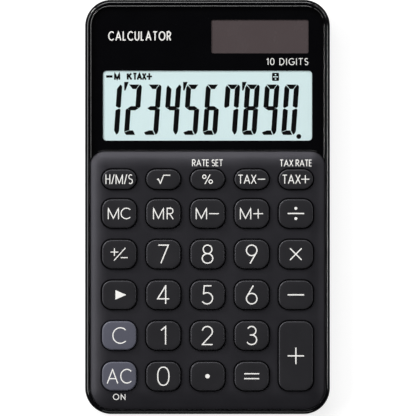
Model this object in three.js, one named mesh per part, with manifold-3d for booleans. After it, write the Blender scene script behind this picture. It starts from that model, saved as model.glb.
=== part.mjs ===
// Pocket calculator, in millimetres. It lies on its back: +Z comes out of the key face,
// +Y points to the display end, +X to the right. The origin is under the middle of the rear face.
import * as THREE from 'three';
import * as BufferGeometryUtils from 'three/addons/utils/BufferGeometryUtils.js';
import Module from 'manifold-3d';

const wasm = await Module();
wasm.setup();

// ---------- driving dimensions ----------
const CASE_WIDTH = 70;
const CASE_LENGTH = 118.5;
const CASE_CORNER = 7.5;
const CASE_THICKNESS = 8.4; // rear face to key tops
const RIM_TOP = 7.1;
const REAR_EDGE_ROUND = 1.4;
const RIM_EDGE_ROUND = 1.0;
const PARTING_HEIGHT = 3.3;
const PARTING_GAP = 0.1;
const WALL = 1.4;
const FLOOR_TOP = 1.1;
const DECK_BOTTOM = 5.0;
const DECK_TOP = 5.9;
const RIM_INSET = 1.25;

// display window
const PLATE_HALF_WIDTH = 33.43;
const PLATE_TOP_Y = 57.55;
const PLATE_BOTTOM_Y = 12.9;
const PLATE_CORNER = 5.7;
const PLATE_BOTTOM = 6.12;
const PLATE_TOP = 7.05;
const MASK_INSET = 0.35;
const MASK_BOTTOM = 5.96;
const MASK_TOP = 6.07;
const LCD_WINDOW = { x: 0, y: 28.97, w: 59.8, h: 20, r: 1 };
const SOLAR_WINDOW = { x: 14.96, y: 48.73, w: 27.8, h: 9.6, r: 0.5 };

// display stack under the window
const LCD_FRONT_GLASS = { x: 0, y: 29, w: 62.4, h: 24.2, r: 0.4 };
const LCD_REAR_GLASS = { x: 0, y: 30.55, w: 62.4, h: 21.1, r: 0.4 };
const LCD_BOTTOM = 4.7;
const LCD_MIDDLE = 5.28;
const LCD_TOP = 5.84;
const REFLECTOR = { x: 0, y: 30.5, w: 61.4, h: 20.5, r: 0.3 };
const REFLECTOR_BOTTOM = 4.5;
const REFLECTOR_TOP = 4.65;
const SUPPORT_TOP = 4.44;
const SUPPORT_FRAME = { x: 0, y: 28.95, w: 62.6, h: 24.1, r: 0.5 };
const SUPPORT_OPENING = { x: 0, y: 30, w: 59.2, h: 18.8, r: 0.5 };
const ZEBRA = { x: 0, y: 18.55, w: 57.4, h: 1.7, r: 0.2 };
const SOLAR_CELL = { x: 14.96, y: 48.73, w: 28.9, h: 10.7, r: 0.3 };
const SOLAR_BOTTOM = 4.75;
const SOLAR_TOP = 5.85;

// keypad
const PANEL_HALF_WIDTH = 33.65;
const PANEL_TOP_Y = 15.95;
const PANEL_BOTTOM_Y = -57.75;
const PANEL_TOP_CORNER = 4.3;
const PANEL_BOTTOM_CORNER = 6;
const PANEL_BOTTOM = 5.96;
const PANEL_EDGE_TOP = 6.9;
const PANEL_TOP = 7.5;
const PANEL_SLOPE = 3.7;
const COLUMN_PITCH = 12.62;
const ROW_PITCH = 11.62;
const FIRST_ROW_Y = 7.92; // pill-shaped keys
const SECOND_ROW_Y = -1.87;
const KEY_WIDTH = 9.8;
const KEY_HEIGHT = 8.2;
const KEY_CORNER = 2.8;
const PILL_HEIGHT = 5.62;
const KEY_CLEARANCE = 0.25; // key side to panel hole
const KEY_EDGE_ROUND = 0.3;
const KEY_BOTTOM = 5.15;
const FLANGE_TOP = 5.65;
const FLANGE_WIDTH = 0.7;
const DOME_SIDES = 8;

// electronics
const BOARD_BOTTOM = 2.2;
const BOARD_TOP = 3.2;
const BOARD_HALF_WIDTH = 31.6;
const BOARD_TOP_Y = 43;
const BOARD_BOTTOM_Y = -53.3;
const MEMBRANE_BOTTOM = 3.25;
const MEMBRANE_SHEET_TOP = 3.75;
const MEMBRANE_DOME_TOP = 4.9;
const DOME = { foot: 2.3, head: 1.5, shoulder: 4.5 };
const BATTERY = { x: -19.5, y: 50.3, r: 5.8, bottom: 1.5, top: 4.55 };
const CELL_RING = { clearance: 0.3, wall: 0.9, top: 2.6, passage: 6 };
const FILM_GAP = 0.05;

// fasteners
const CASE_SCREWS = {
  top_left: [-31, 55.2],
  top_right: [31, 55.2],
  middle_left: [-30.6, 13.9],
  middle_right: [30.6, 13.9],
  bottom_left: [-30.5, -55.4],
  bottom_right: [30.5, -55.4],
};
const BOARD_SCREWS = {
  upper_left: [-1.5 * COLUMN_PITCH, SECOND_ROW_Y - ROW_PITCH / 2],
  upper_right: [1.5 * COLUMN_PITCH, SECOND_ROW_Y - ROW_PITCH / 2],
  lower_left: [-0.5 * COLUMN_PITCH, SECOND_ROW_Y - 3.5 * ROW_PITCH],
  lower_right: [0.5 * COLUMN_PITCH, SECOND_ROW_Y - 3.5 * ROW_PITCH],
};
const BOSS_RADIUS = 1.7;
const REAR_BOSS_RADIUS = 2.1;
const CUT_OVERLAP = 0.2; // how far joined solids run into each other
const CASE_SCREW = { head: 1.45, headFrom: 0.3, headTo: 0.85, shank: 0.6, tip: 4.9 };
const BOARD_SCREW = { head: 1.3, headFrom: 1.6, headTo: 2.15, shank: 0.6, tip: 5.4 };
const SCREW_BORE = 0.8;
const RECESS_DEPTH = 0.3;
const COUNTERBORE = { radius: 1.75, depth: 0.9 };
const POST_RADIUS = 1.5;
const ROUND_SIDES = 12;

// ---------- solids ----------
// A closed geometry as a manifold solid.
function solid(geometry) {
  const plain = geometry.clone();
  plain.deleteAttribute('normal');
  plain.deleteAttribute('uv');
  const merged = BufferGeometryUtils.mergeVertices(plain, 1e-5);
  const vertProperties = new Float32Array(merged.attributes.position.array);
  const triVerts = new Uint32Array(merged.index.array);
  return new wasm.Manifold(new wasm.Mesh({ numProp: 3, vertProperties, triVerts }));
}

// A manifold solid back as a geometry.
function geometryOf(body) {
  const mesh = body.getMesh();
  const geometry = new THREE.BufferGeometry();
  geometry.setAttribute('position', new THREE.BufferAttribute(mesh.vertProperties, 3));
  geometry.setIndex(new THREE.BufferAttribute(mesh.triVerts, 1));
  geometry.computeVertexNormals();
  return geometry;
}

// A rectangle outline with round corners; top and bottom corners can differ.
function roundedRect({ x, y, w, h, r, rBottom = r }) {
  const left = x - w / 2;
  const right = x + w / 2;
  const low = y - h / 2;
  const high = y + h / 2;
  const quarter = Math.PI / 2;
  const shape = new THREE.Shape();
  shape.moveTo(left + rBottom, low);
  shape.lineTo(right - rBottom, low);
  shape.absarc(right - rBottom, low + rBottom, rBottom, -quarter, 0);
  shape.lineTo(right, high - r);
  shape.absarc(right - r, high - r, r, 0, quarter);
  shape.lineTo(left + r, high);
  shape.absarc(left + r, high - r, r, quarter, 2 * quarter);
  shape.lineTo(left, low + rBottom);
  shape.absarc(left + rBottom, low + rBottom, rBottom, 2 * quarter, 3 * quarter);
  return shape;
}

// The same rectangle grown by d on every side.
function grown(rect, d) {
  const bigger = { ...rect, w: rect.w + 2 * d, h: rect.h + 2 * d, r: rect.r + d };
  if (rect.rBottom !== undefined) {
    bigger.rBottom = rect.rBottom + d;
  }
  return bigger;
}

// An outline extruded from one height to another.
function extruded(outline, from, to, cornerSteps) {
  const geometry = new THREE.ExtrudeGeometry(outline, {
    depth: to - from,
    bevelEnabled: false,
    curveSegments: cornerSteps,
  });
  geometry.translate(0, 0, from);
  return solid(geometry);
}

function slab(rect, from, to, cornerSteps = 2) {
  return extruded(roundedRect(rect), from, to, cornerSteps);
}

// An outline whose upper edge is rounded off: it pulls in by inset over the last drop of height.
// The lower half of the extrusion, which ends in the same round, is cut off at height from.
function crownedSlab(rect, from, to, inset, drop, cornerSteps, roundSteps) {
  const geometry = new THREE.ExtrudeGeometry(roundedRect(rect), {
    depth: to - from,
    bevelEnabled: true,
    bevelThickness: drop,
    bevelSize: inset,
    bevelOffset: -inset,
    bevelSegments: roundSteps,
    curveSegments: cornerSteps,
  });
  geometry.translate(0, 0, from - drop);
  return solid(geometry).subtract(slab(grown(rect, 1), from - 2 * drop - 1, from));
}

// A turned solid: profile points are [radius, height] from the axis round to the axis.
function turned(profile, x, y, sides = ROUND_SIDES) {
  const points = profile.map(([radius, height]) => new THREE.Vector2(radius, height));
  const geometry = new THREE.LatheGeometry(points, sides);
  geometry.rotateX(Math.PI / 2);
  geometry.translate(x, y, 0);
  return solid(geometry);
}

// An upright cylinder.
function post(x, y, radius, from, to, sides = ROUND_SIDES) {
  return turned([[0, from], [radius, from], [radius, to], [0, to]], x, y, sides);
}

// A strip of sheet metal that runs along Y: centre is its bent middle line as [y, z] points.
function bentStrip(x, width, thickness, centre) {
  const half = thickness / 2;
  const above = centre.map(([y, z]) => new THREE.Vector2(y, z + half));
  const below = centre.map(([y, z]) => new THREE.Vector2(y, z - half)).reverse();
  const geometry = new THREE.ExtrudeGeometry(new THREE.Shape([...above, ...below]), {
    depth: width,
    bevelEnabled: false,
  });
  geometry.rotateY(Math.PI / 2);
  geometry.rotateX(Math.PI / 2);
  geometry.translate(x - width / 2, 0, 0);
  return geometry;
}

function joinAll(bodies) {
  return bodies.reduce((sum, body) => sum.add(body));
}

function cutAll(body, tools) {
  return tools.reduce((rest, tool) => rest.subtract(tool), body);
}

// ---------- the assembly ----------
const group = new THREE.Group();

const LOOKS = {
  gloss_black: { color: 0x050506, roughness: 0.12, metalness: 0 },
  panel_grey: { color: 0x2c2c2e, roughness: 0.55, metalness: 0 },
  key_grey: { color: 0x2e2e30, roughness: 0.5, metalness: 0 },
  key_blue_grey: { color: 0x595965, roughness: 0.5, metalness: 0 },
  clear: { color: 0xffffff, roughness: 0.03, metalness: 0, transparent: true, opacity: 0.2 },
  lcd: { color: 0xcee3e4, roughness: 0.35, metalness: 0 },
  solar: { color: 0x4d4445, roughness: 0.3, metalness: 0 },
  white_plastic: { color: 0xe4e4e0, roughness: 0.5, metalness: 0 },
  elastomer: { color: 0xd88a90, roughness: 0.8, metalness: 0 },
  membrane: { color: 0xb9bcbc, roughness: 0.7, metalness: 0 },
  board: { color: 0x1d5a34, roughness: 0.45, metalness: 0 },
  epoxy: { color: 0x0d0d0e, roughness: 0.4, metalness: 0 },
  part_tan: { color: 0x8a6a3c, roughness: 0.5, metalness: 0 },
  steel: { color: 0xb8b9bb, roughness: 0.3, metalness: 1 },
  wire_red: { color: 0xa02020, roughness: 0.5, metalness: 0 },
  wire_black: { color: 0x151515, roughness: 0.5, metalness: 0 },
};

function addPart(name, body, look) {
  const geometry = body instanceof wasm.Manifold ? geometryOf(body) : body;
  const mesh = new THREE.Mesh(geometry, new THREE.MeshStandardMaterial(LOOKS[look]));
  mesh.name = name;
  group.add(mesh);
}

// ---------- keys ----------
const STANDARD_KEY = { w: KEY_WIDTH, h: KEY_HEIGHT, r: KEY_CORNER };
const PILL_KEY = { w: KEY_WIDTH, h: PILL_HEIGHT, r: PILL_HEIGHT / 2 };
const TALL_KEY = { w: KEY_WIDTH, h: KEY_HEIGHT + ROW_PITCH, r: KEY_CORNER };

const KEY_ROWS = [
  { kind: PILL_KEY, names: ['hms', 'root', 'percent', 'tax_minus', 'tax_plus'] },
  { kind: STANDARD_KEY, names: ['mc', 'mr', 'm_minus', 'm_plus', 'divide'] },
  { kind: STANDARD_KEY, names: ['sign', '7', '8', '9', 'multiply'] },
  { kind: STANDARD_KEY, names: ['delete_digit', '4', '5', '6', 'minus'] },
  { kind: STANDARD_KEY, names: ['c', '1', '2', '3'] },
  { kind: STANDARD_KEY, names: ['ac', '0', 'point', 'equals'] },
];
const LIGHT_KEYS = ['c', 'ac'];

function keyList() {
  const keys = [];
  KEY_ROWS.forEach(({ kind, names }, row) => {
    const y = row === 0 ? FIRST_ROW_Y : SECOND_ROW_Y - (row - 1) * ROW_PITCH;
    names.forEach((name, column) => {
      keys.push({ name, x: (column - 2) * COLUMN_PITCH, y, ...kind });
    });
  });
  const lastRowY = SECOND_ROW_Y - (KEY_ROWS.length - 2) * ROW_PITCH;
  keys.push({ name: 'plus', x: 2 * COLUMN_PITCH, y: lastRowY + ROW_PITCH / 2, ...TALL_KEY });
  return keys;
}

const KEYS = keyList();

// A key cap with its upper edge rounded and a flange that stops under the panel.
function keyBody(key) {
  const cap = crownedSlab(key, KEY_BOTTOM, CASE_THICKNESS, KEY_EDGE_ROUND, KEY_EDGE_ROUND, 2, 1);
  return cap.add(slab(grown(key, FLANGE_WIDTH), KEY_BOTTOM, FLANGE_TOP));
}

for (const key of KEYS) {
  const look = LIGHT_KEYS.includes(key.name) ? 'key_blue_grey' : 'key_grey';
  addPart(`key_${key.name}`, keyBody(key), look);
}

// ---------- keypad panel ----------
const PANEL = {
  x: 0,
  y: (PANEL_TOP_Y + PANEL_BOTTOM_Y) / 2,
  w: 2 * PANEL_HALF_WIDTH,
  h: PANEL_TOP_Y - PANEL_BOTTOM_Y,
  r: PANEL_TOP_CORNER,
  rBottom: PANEL_BOTTOM_CORNER,
};

// The raised panel, with a hole for each key and four screw posts on its underside.
function keypadPanel() {
  const rise = PANEL_TOP - PANEL_EDGE_TOP;
  const plate = crownedSlab(PANEL, PANEL_BOTTOM, PANEL_TOP, PANEL_SLOPE, rise, 4, 3);
  const places = Object.values(BOARD_SCREWS);
  const postFoot = MEMBRANE_SHEET_TOP + FILM_GAP;
  const posts = places.map(([x, y]) => post(x, y, POST_RADIUS, postFoot, PANEL_BOTTOM + CUT_OVERLAP));
  const holes = KEYS.map((key) => slab(grown(key, KEY_CLEARANCE), PANEL_BOTTOM - 1, PANEL_TOP + 1));
  const boreTop = BOARD_SCREW.tip + 0.3;
  const bores = places.map(([x, y]) => post(x, y, SCREW_BORE, MEMBRANE_SHEET_TOP - 1, boreTop));
  return cutAll(joinAll([plate, ...posts]), [...holes, ...bores]);
}

addPart('keypad_panel', keypadPanel(), 'panel_grey');

// ---------- case ----------
const OUTLINE = { x: 0, y: 0, w: CASE_WIDTH, h: CASE_LENGTH, r: CASE_CORNER };
const CAVITY = grown(OUTLINE, -WALL);

// The lower half of the outer form: a crowned slab turned over, so that its round is at the bottom.
function rearBlank() {
  const upright = crownedSlab(OUTLINE, 0, PARTING_HEIGHT - PARTING_GAP / 2,
    REAR_EDGE_ROUND, REAR_EDGE_ROUND, 4, 3);
  return upright.rotate([0, 180, 0]).translate([0, 0, PARTING_HEIGHT - PARTING_GAP / 2]);
}

// Raised ring in the rear case that centres the button cell, open where the strips pass.
function batteryRing() {
  const { x, y, r } = BATTERY;
  const { clearance, wall, top, passage } = CELL_RING;
  const outside = post(x, y, r + clearance + wall, FLOOR_TOP - CUT_OVERLAP, top, 24);
  const inside = post(x, y, r + clearance, FLOOR_TOP - 1, top + 1, 24);
  const gap = slab({ x, y: y - r, w: passage, h: passage, r: 0.2 }, FLOOR_TOP - 1, top + 1);
  return cutAll(outside, [inside, gap]);
}

function rearCase() {
  const bossTop = PARTING_HEIGHT - PARTING_GAP / 2;
  const places = Object.values(CASE_SCREWS);
  const bosses = places.map(([x, y]) => post(x, y, REAR_BOSS_RADIUS, FLOOR_TOP - 1, bossTop + 1));
  const room = cutAll(slab(CAVITY, FLOOR_TOP, bossTop + 1, 4), bosses);
  const counterbores = places.map(([x, y]) => post(x, y, COUNTERBORE.radius, -1, COUNTERBORE.depth));
  const throughHoles = places.map(([x, y]) => post(x, y, SCREW_BORE, -1, bossTop + 1));
  const shell = rearBlank().subtract(room).add(batteryRing());
  return cutAll(shell, [...counterbores, ...throughHoles]);
}

addPart('rear_case', rearCase(), 'gloss_black');

const RECESS = grown(OUTLINE, -RIM_INSET);
const LCD_OPENING = { x: 0, y: 29, w: 63, h: 24.8, r: 0.6 };
const SOLAR_OPENING = grown(SOLAR_CELL, 0.3);
const KEY_OPENING = { x: 0, y: -20.85, w: 62.8, h: 66.1, r: 3 };

// The upper shell: a rounded rim round a recessed deck that carries the window and the panel.
function frontCase() {
  const bottom = PARTING_HEIGHT + PARTING_GAP / 2;
  const blank = crownedSlab(OUTLINE, bottom, RIM_TOP, RIM_EDGE_ROUND, RIM_EDGE_ROUND, 4, 3);
  const places = Object.values(CASE_SCREWS);
  const bosses = places.map(([x, y]) => post(x, y, BOSS_RADIUS, bottom, DECK_BOTTOM + 1));
  const room = cutAll(slab(CAVITY, bottom - 1, DECK_BOTTOM, 4), bosses);
  const recess = slab(RECESS, DECK_TOP, RIM_TOP + 1, 4);
  const openings = [LCD_OPENING, SOLAR_OPENING, KEY_OPENING].map((rect) => slab(rect, 0, RIM_TOP));
  const bores = places.map(([x, y]) => post(x, y, SCREW_BORE, bottom - 1, CASE_SCREW.tip + 0.3));
  return cutAll(blank, [room, recess, ...openings, ...bores]);
}

addPart('front_case', frontCase(), 'gloss_black');

// ---------- display window ----------
const PLATE = {
  x: 0,
  y: (PLATE_TOP_Y + PLATE_BOTTOM_Y) / 2,
  w: 2 * PLATE_HALF_WIDTH,
  h: PLATE_TOP_Y - PLATE_BOTTOM_Y,
  r: PLATE_CORNER,
  rBottom: 0.5,
};

// Both sheets end at the panel and follow its round corners.
function windowSheet(inset, from, to) {
  const panelRoom = slab(grown(PANEL, 0.12 + inset), from - 1, to + 1, 3);
  return slab(grown(PLATE, -inset), from, to, 4).subtract(panelRoom);
}

function windowMask() {
  const windows = [LCD_WINDOW, SOLAR_WINDOW].map((rect) => slab(rect, 0, RIM_TOP));
  return cutAll(windowSheet(MASK_INSET, MASK_BOTTOM, MASK_TOP), windows);
}

addPart('window_plate', windowSheet(0, PLATE_BOTTOM, PLATE_TOP), 'clear');
addPart('window_mask', windowMask(), 'gloss_black');

// ---------- display and solar cell ----------
function lcdGlass() {
  const rear = slab(LCD_REAR_GLASS, LCD_BOTTOM, LCD_MIDDLE, 1);
  return rear.add(slab(LCD_FRONT_GLASS, LCD_MIDDLE, LCD_TOP, 1));
}

// An open frame on the board that carries the display, with a slot for the connector strip.
function lcdSupport() {
  const outer = slab(SUPPORT_FRAME, BOARD_TOP + FILM_GAP, SUPPORT_TOP, 1);
  const opening = slab(SUPPORT_OPENING, BOARD_TOP - 1, SUPPORT_TOP + 1, 1);
  const slot = slab(grown(ZEBRA, 0.15), BOARD_TOP - 1, SUPPORT_TOP + 1, 1);
  return cutAll(outer, [opening, slot]);
}

addPart('lcd_glass', lcdGlass(), 'lcd');
addPart('lcd_reflector', slab(REFLECTOR, REFLECTOR_BOTTOM, REFLECTOR_TOP, 1), 'lcd');
addPart('lcd_support_frame', lcdSupport(), 'white_plastic');
addPart('connector_strip', slab(ZEBRA, BOARD_TOP + FILM_GAP, LCD_MIDDLE - FILM_GAP, 1), 'elastomer');
addPart('solar_cell', slab(SOLAR_CELL, SOLAR_BOTTOM, SOLAR_TOP, 1), 'solar');

// An insulated wire from under the solar cell, down to the board.
function solarLead(x) {
  const radius = 0.4;
  const underCell = SOLAR_BOTTOM - FILM_GAP - radius;
  const onBoard = BOARD_TOP + FILM_GAP + radius;
  const path = new THREE.CatmullRomCurve3([
    new THREE.Vector3(x, 47.5, underCell),
    new THREE.Vector3(x, 45.2, underCell),
    new THREE.Vector3(x, 43.3, onBoard),
    new THREE.Vector3(x, 41.5, onBoard),
  ]);
  const section = new THREE.Shape();
  section.absarc(0, 0, radius, 0, 2 * Math.PI);
  return new THREE.ExtrudeGeometry(section, { extrudePath: path, steps: 6, curveSegments: 4 });
}

addPart('solar_lead_plus', solid(solarLead(20)), 'wire_red');
addPart('solar_lead_minus', solid(solarLead(24)), 'wire_black');

// ---------- membrane and board ----------
const BOARD = {
  x: 0,
  y: (BOARD_TOP_Y + BOARD_BOTTOM_Y) / 2,
  w: 2 * BOARD_HALF_WIDTH,
  h: BOARD_TOP_Y - BOARD_BOTTOM_Y,
  r: 1.5,
};
const MEMBRANE = { x: 0, y: -20.8, w: 62.2, h: 64.6, r: 3 };

// Room round each case boss and each board screw that passes through a flat sheet.
function sheetHoles(from, to) {
  const room = REAR_BOSS_RADIUS + 0.3;
  const bosses = Object.values(CASE_SCREWS).map(([x, y]) => post(x, y, room, from, to));
  const screws = Object.values(BOARD_SCREWS).map(([x, y]) => post(x, y, SCREW_BORE, from, to));
  return [...bosses, ...screws];
}

// Rubber sheet with a dome under every key; the tall key has two.
function membrane() {
  const sheet = slab(MEMBRANE, MEMBRANE_BOTTOM, MEMBRANE_SHEET_TOP);
  const inSheet = MEMBRANE_SHEET_TOP - CUT_OVERLAP;
  const { foot, head, shoulder } = DOME;
  const profile = [
    [0, inSheet],
    [foot, inSheet],
    [foot, MEMBRANE_SHEET_TOP],
    [head, shoulder],
    [head, MEMBRANE_DOME_TOP],
    [0, MEMBRANE_DOME_TOP],
  ];
  const centres = KEYS.flatMap(({ x, y, h }) => {
    const offset = h > KEY_HEIGHT ? ROW_PITCH / 2 : 0;
    return offset ? [[x, y - offset], [x, y + offset]] : [[x, y]];
  });
  const domes = centres.map(([x, y]) => turned(profile, x, y, DOME_SIDES));
  const holes = sheetHoles(MEMBRANE_BOTTOM - 1, MEMBRANE_SHEET_TOP + 1);
  return cutAll(joinAll([sheet, ...domes]), holes);
}

function board() {
  const sheet = slab(BOARD, BOARD_BOTTOM, BOARD_TOP);
  return cutAll(sheet, sheetHoles(BOARD_BOTTOM - 1, BOARD_TOP + 1));
}

addPart('keypad_membrane', membrane(), 'membrane');
addPart('circuit_board', board(), 'board');

const UNDER_BOARD = BOARD_BOTTOM - FILM_GAP;
const BLOB = [
  [0, UNDER_BOARD - 0.75],
  [2.2, UNDER_BOARD - 0.65],
  [3.7, UNDER_BOARD - 0.3],
  [4.1, UNDER_BOARD],
  [0, UNDER_BOARD],
];
const CAPACITOR = { x: 6, y: 31, w: 3.2, h: 1.8, r: 0.15 };
const DIODE = { x: 14, y: 34, w: 2.6, h: 1.5, r: 0.15 };
addPart('logic_chip', turned(BLOB, -12, 27), 'epoxy');
addPart('supply_capacitor', slab(CAPACITOR, UNDER_BOARD - 0.8, UNDER_BOARD, 1), 'part_tan');
addPart('blocking_diode', slab(DIODE, UNDER_BOARD - 0.75, UNDER_BOARD, 1), 'epoxy');

// ---------- button cell and its contacts ----------
// The narrower minus cap faces down, the plus can faces up.
function buttonCell() {
  const { x, y, r, bottom, top } = BATTERY;
  const capHeight = 0.35;
  const profile = [
    [0, bottom],
    [r - 1, bottom],
    [r - 1, bottom + capHeight],
    [r, bottom + capHeight],
    [r, top - 0.3],
    [r - 0.3, top],
    [0, top],
  ];
  return turned(profile, x, y, 24);
}

const STRIP_WIDTH = 4;
const STRIP_THICKNESS = 0.2;
const BATTERY_FAR_Y = BATTERY.y + 3;
const BATTERY_NEAR_Y = BATTERY.y - BATTERY.r;

addPart('battery_cell', buttonCell(), 'steel');
addPart('battery_contact_minus', solid(bentStrip(BATTERY.x, STRIP_WIDTH, STRIP_THICKNESS, [
  [BATTERY_FAR_Y, BATTERY.bottom - 0.15],
  [BATTERY_NEAR_Y - 0.2, BATTERY.bottom - 0.15],
  [BATTERY_NEAR_Y - 1.5, UNDER_BOARD - 0.1],
  [BATTERY_NEAR_Y - 4, UNDER_BOARD - 0.1],
])), 'steel');
addPart('battery_contact_plus', solid(bentStrip(BATTERY.x, STRIP_WIDTH, STRIP_THICKNESS, [
  [BATTERY_FAR_Y, BATTERY.top + 0.15],
  [BATTERY_NEAR_Y - 0.4, BATTERY.top + 0.15],
  [BATTERY_NEAR_Y - 1.6, BOARD_TOP + 0.15],
  [BATTERY_NEAR_Y - 3, BOARD_TOP + 0.15],
])), 'steel');

// ---------- screws ----------
// The outline of a cross recess, centred on x and y.
function crossOutline(x, y, reach, halfWidth) {
  const corners = [];
  for (let quarter = 0; quarter < 4; quarter += 1) {
    const turn = quarter * Math.PI / 2;
    for (const [u, v] of [[reach, -halfWidth], [reach, halfWidth], [halfWidth, halfWidth]]) {
      const across = u * Math.cos(turn) - v * Math.sin(turn);
      const along = u * Math.sin(turn) + v * Math.cos(turn);
      corners.push(new THREE.Vector2(x + across, y + along));
    }
  }
  return new THREE.Shape(corners);
}

// A screw, head down: a pan head with a cross recess and a plain shank up to the tip.
function screwBody(x, y, { head, headFrom, headTo, shank, tip }) {
  const pan = [
    [0, headFrom],
    [head - 0.25, headFrom],
    [head, headFrom + 0.25],
    [head, headTo],
    [shank, headTo],
    [shank, tip - 0.4],
    [0, tip],
  ];
  const recess = extruded(crossOutline(x, y, 0.8, 0.18), headFrom - 1, headFrom + RECESS_DEPTH, 1);
  return turned(pan, x, y, 8).subtract(recess);
}

for (const [place, [x, y]] of Object.entries(CASE_SCREWS)) {
  addPart(`case_screw_${place}`, screwBody(x, y, CASE_SCREW), 'steel');
}
for (const [place, [x, y]] of Object.entries(BOARD_SCREWS)) {
  addPart(`board_screw_${place}`, screwBody(x, y, BOARD_SCREW), 'steel');
}

export default group;
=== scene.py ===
import functools
import math
from collections import namedtuple

import bmesh
import bpy
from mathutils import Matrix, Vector
from mathutils.geometry import delaunay_2d_cdt


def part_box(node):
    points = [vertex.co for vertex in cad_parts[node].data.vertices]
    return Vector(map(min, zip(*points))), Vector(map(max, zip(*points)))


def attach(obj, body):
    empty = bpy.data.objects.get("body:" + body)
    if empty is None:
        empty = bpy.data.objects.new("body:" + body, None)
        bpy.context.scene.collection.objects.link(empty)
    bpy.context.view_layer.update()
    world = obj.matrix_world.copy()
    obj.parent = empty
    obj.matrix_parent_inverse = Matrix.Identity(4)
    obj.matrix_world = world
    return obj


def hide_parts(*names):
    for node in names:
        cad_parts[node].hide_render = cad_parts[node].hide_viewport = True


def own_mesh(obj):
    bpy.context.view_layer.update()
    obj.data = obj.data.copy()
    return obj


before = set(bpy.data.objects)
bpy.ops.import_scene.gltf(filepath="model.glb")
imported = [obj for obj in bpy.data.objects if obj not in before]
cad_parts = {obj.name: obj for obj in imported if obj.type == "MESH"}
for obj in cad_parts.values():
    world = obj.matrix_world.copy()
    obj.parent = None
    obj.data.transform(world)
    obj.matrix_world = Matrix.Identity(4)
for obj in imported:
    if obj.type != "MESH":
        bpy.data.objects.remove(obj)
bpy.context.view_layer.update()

# A pocket calculator on its back: +Z comes out of the key face, +Y points to the display end.
# Lengths are millimetres until a mesh is made; MM turns them into metres.
MM = 0.001
CASE = "case"

# sizes that the boxes of the nodes don't give
CASE_CORNER = 7.5
WALL = 1.4
EDGE_SOFT = 0.12            # break on an edge that would otherwise be sharp
RIM_ACROSS, RIM_DOWN = 0.95, 2.0     # the rim's rounding is deeper than it is wide
RIM_INSET = 1.25
DECK_TOP, DECK_BOTTOM = 5.9, 5.0
FLOOR_TOP = 1.1
REAR_ROUND = 1.4
OPENING_ROOM = 0.3
KEY_ROOM = 0.6
BOSS_RADIUS, REAR_BOSS_RADIUS = 1.7, 2.1
SCREW_BORE = 0.8
COUNTERBORE_RADIUS, COUNTERBORE_DEPTH = 1.75, 0.9

PLATE_CORNER = 5.7
PLATE_EDGE = 0.34
PLATE_GROWTH = 0.1          # the fine plate fills a little more of the recess than the CAD plate
PANEL_GAP = 0.12
MASK_INSET = 0.35
LCD_WINDOW_INSET = (1.3, 2.13, 2.07)   # sides, top, bottom, from the display glass
SOLAR_WINDOW_INSET = 0.55

PANEL_TOP_CORNER, PANEL_LOW_CORNER = 4.3, 6.0
PANEL_RISE = 0.93           # the border slopes down further than the CAD panel's 0.6
SLOPE_STRAIGHT, SLOPE_END = 1.4, 5.4   # an even slope this far in, then flatter up to there
SLOPE_STEPS = 34
KEY_GAP = 0.25
HOLE_LIP = 0.22
LIP_MARGIN = 0.1            # a flat ring round each lip keeps its shading off the panel
POST_RADIUS, POST_BORE_TOP = 1.5, 5.7

KEY_CORNER = 2.8
ROW_PITCH = 11.62
FLANGE_WIDTH, FLANGE_TOP = 0.7, 5.65
KEY_ROUND = 0.36
KEY_TOP_DROP = 0.03         # the printed legend fills the last of the key's height
KEY_CROWN = 0.03
PRINT = 0.015               # how far ink stands on a surface
SUNK = 0.01                 # how far ink reaches into it

CURVE_STEPS = 12            # pieces in a quarter circle


# ---------- camera ----------
VIEW_CENTRE = (0.14, -0.31)
VIEW_SIZE = 118.88          # what the picture takes in at the height of the keypad
LENS, SENSOR = 600.0, 36.0


def make_camera():
    """A very long lens straight above the key face."""
    data = bpy.data.cameras.new("camera")
    data.lens = LENS
    data.sensor_width = SENSOR
    data.clip_end = 100
    camera = bpy.data.objects.new("camera", data)
    height = LENS / SENSOR * VIEW_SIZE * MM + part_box("keypad_panel")[1].z
    camera.location = (VIEW_CENTRE[0] * MM, VIEW_CENTRE[1] * MM, height)
    bpy.context.scene.collection.objects.link(camera)
    bpy.context.scene.camera = camera


make_camera()


# ---------- outlines ----------
Rect = namedtuple("Rect", "x0 y0 x1 y1 top_corner low_corner")


@functools.cache
def node_box(node):
    """A node's lowest and highest corners, in millimetres."""
    low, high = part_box(node)
    return Vector(low) / MM, Vector(high) / MM


def rect_of(node, corner, low_corner=None, inset=0.0):
    """A node's outline seen from above, with its corner radius, pulled in by inset."""
    low, high = node_box(node)
    low_corner = corner if low_corner is None else low_corner
    return Rect(low.x + inset, low.y + inset, high.x - inset, high.y - inset, corner, low_corner)


def heights_of(node):
    low, high = node_box(node)
    return low.z, high.z


def centre_of(node):
    low, high = node_box(node)
    return (low.x + high.x) / 2, (low.y + high.y) / 2


def arc(cx, cy, rx, ry, start, stop, steps=CURVE_STEPS, power=2.0):
    """Points along an oval arc between two angles in degrees; a power over 2 squares the oval off."""
    points = []
    for i in range(steps + 1):
        angle = math.radians(start + (stop - start) * i / steps)
        across, up = math.cos(angle), math.sin(angle)
        points.append((
            cx + rx * math.copysign(abs(across) ** (2 / power), across),
            cy + ry * math.copysign(abs(up) ** (2 / power), up),
        ))
    return points


def circle(x, y, radius, sides=4 * CURVE_STEPS):
    return arc(x, y, radius, radius, 0, 360, sides)[:-1]


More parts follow.
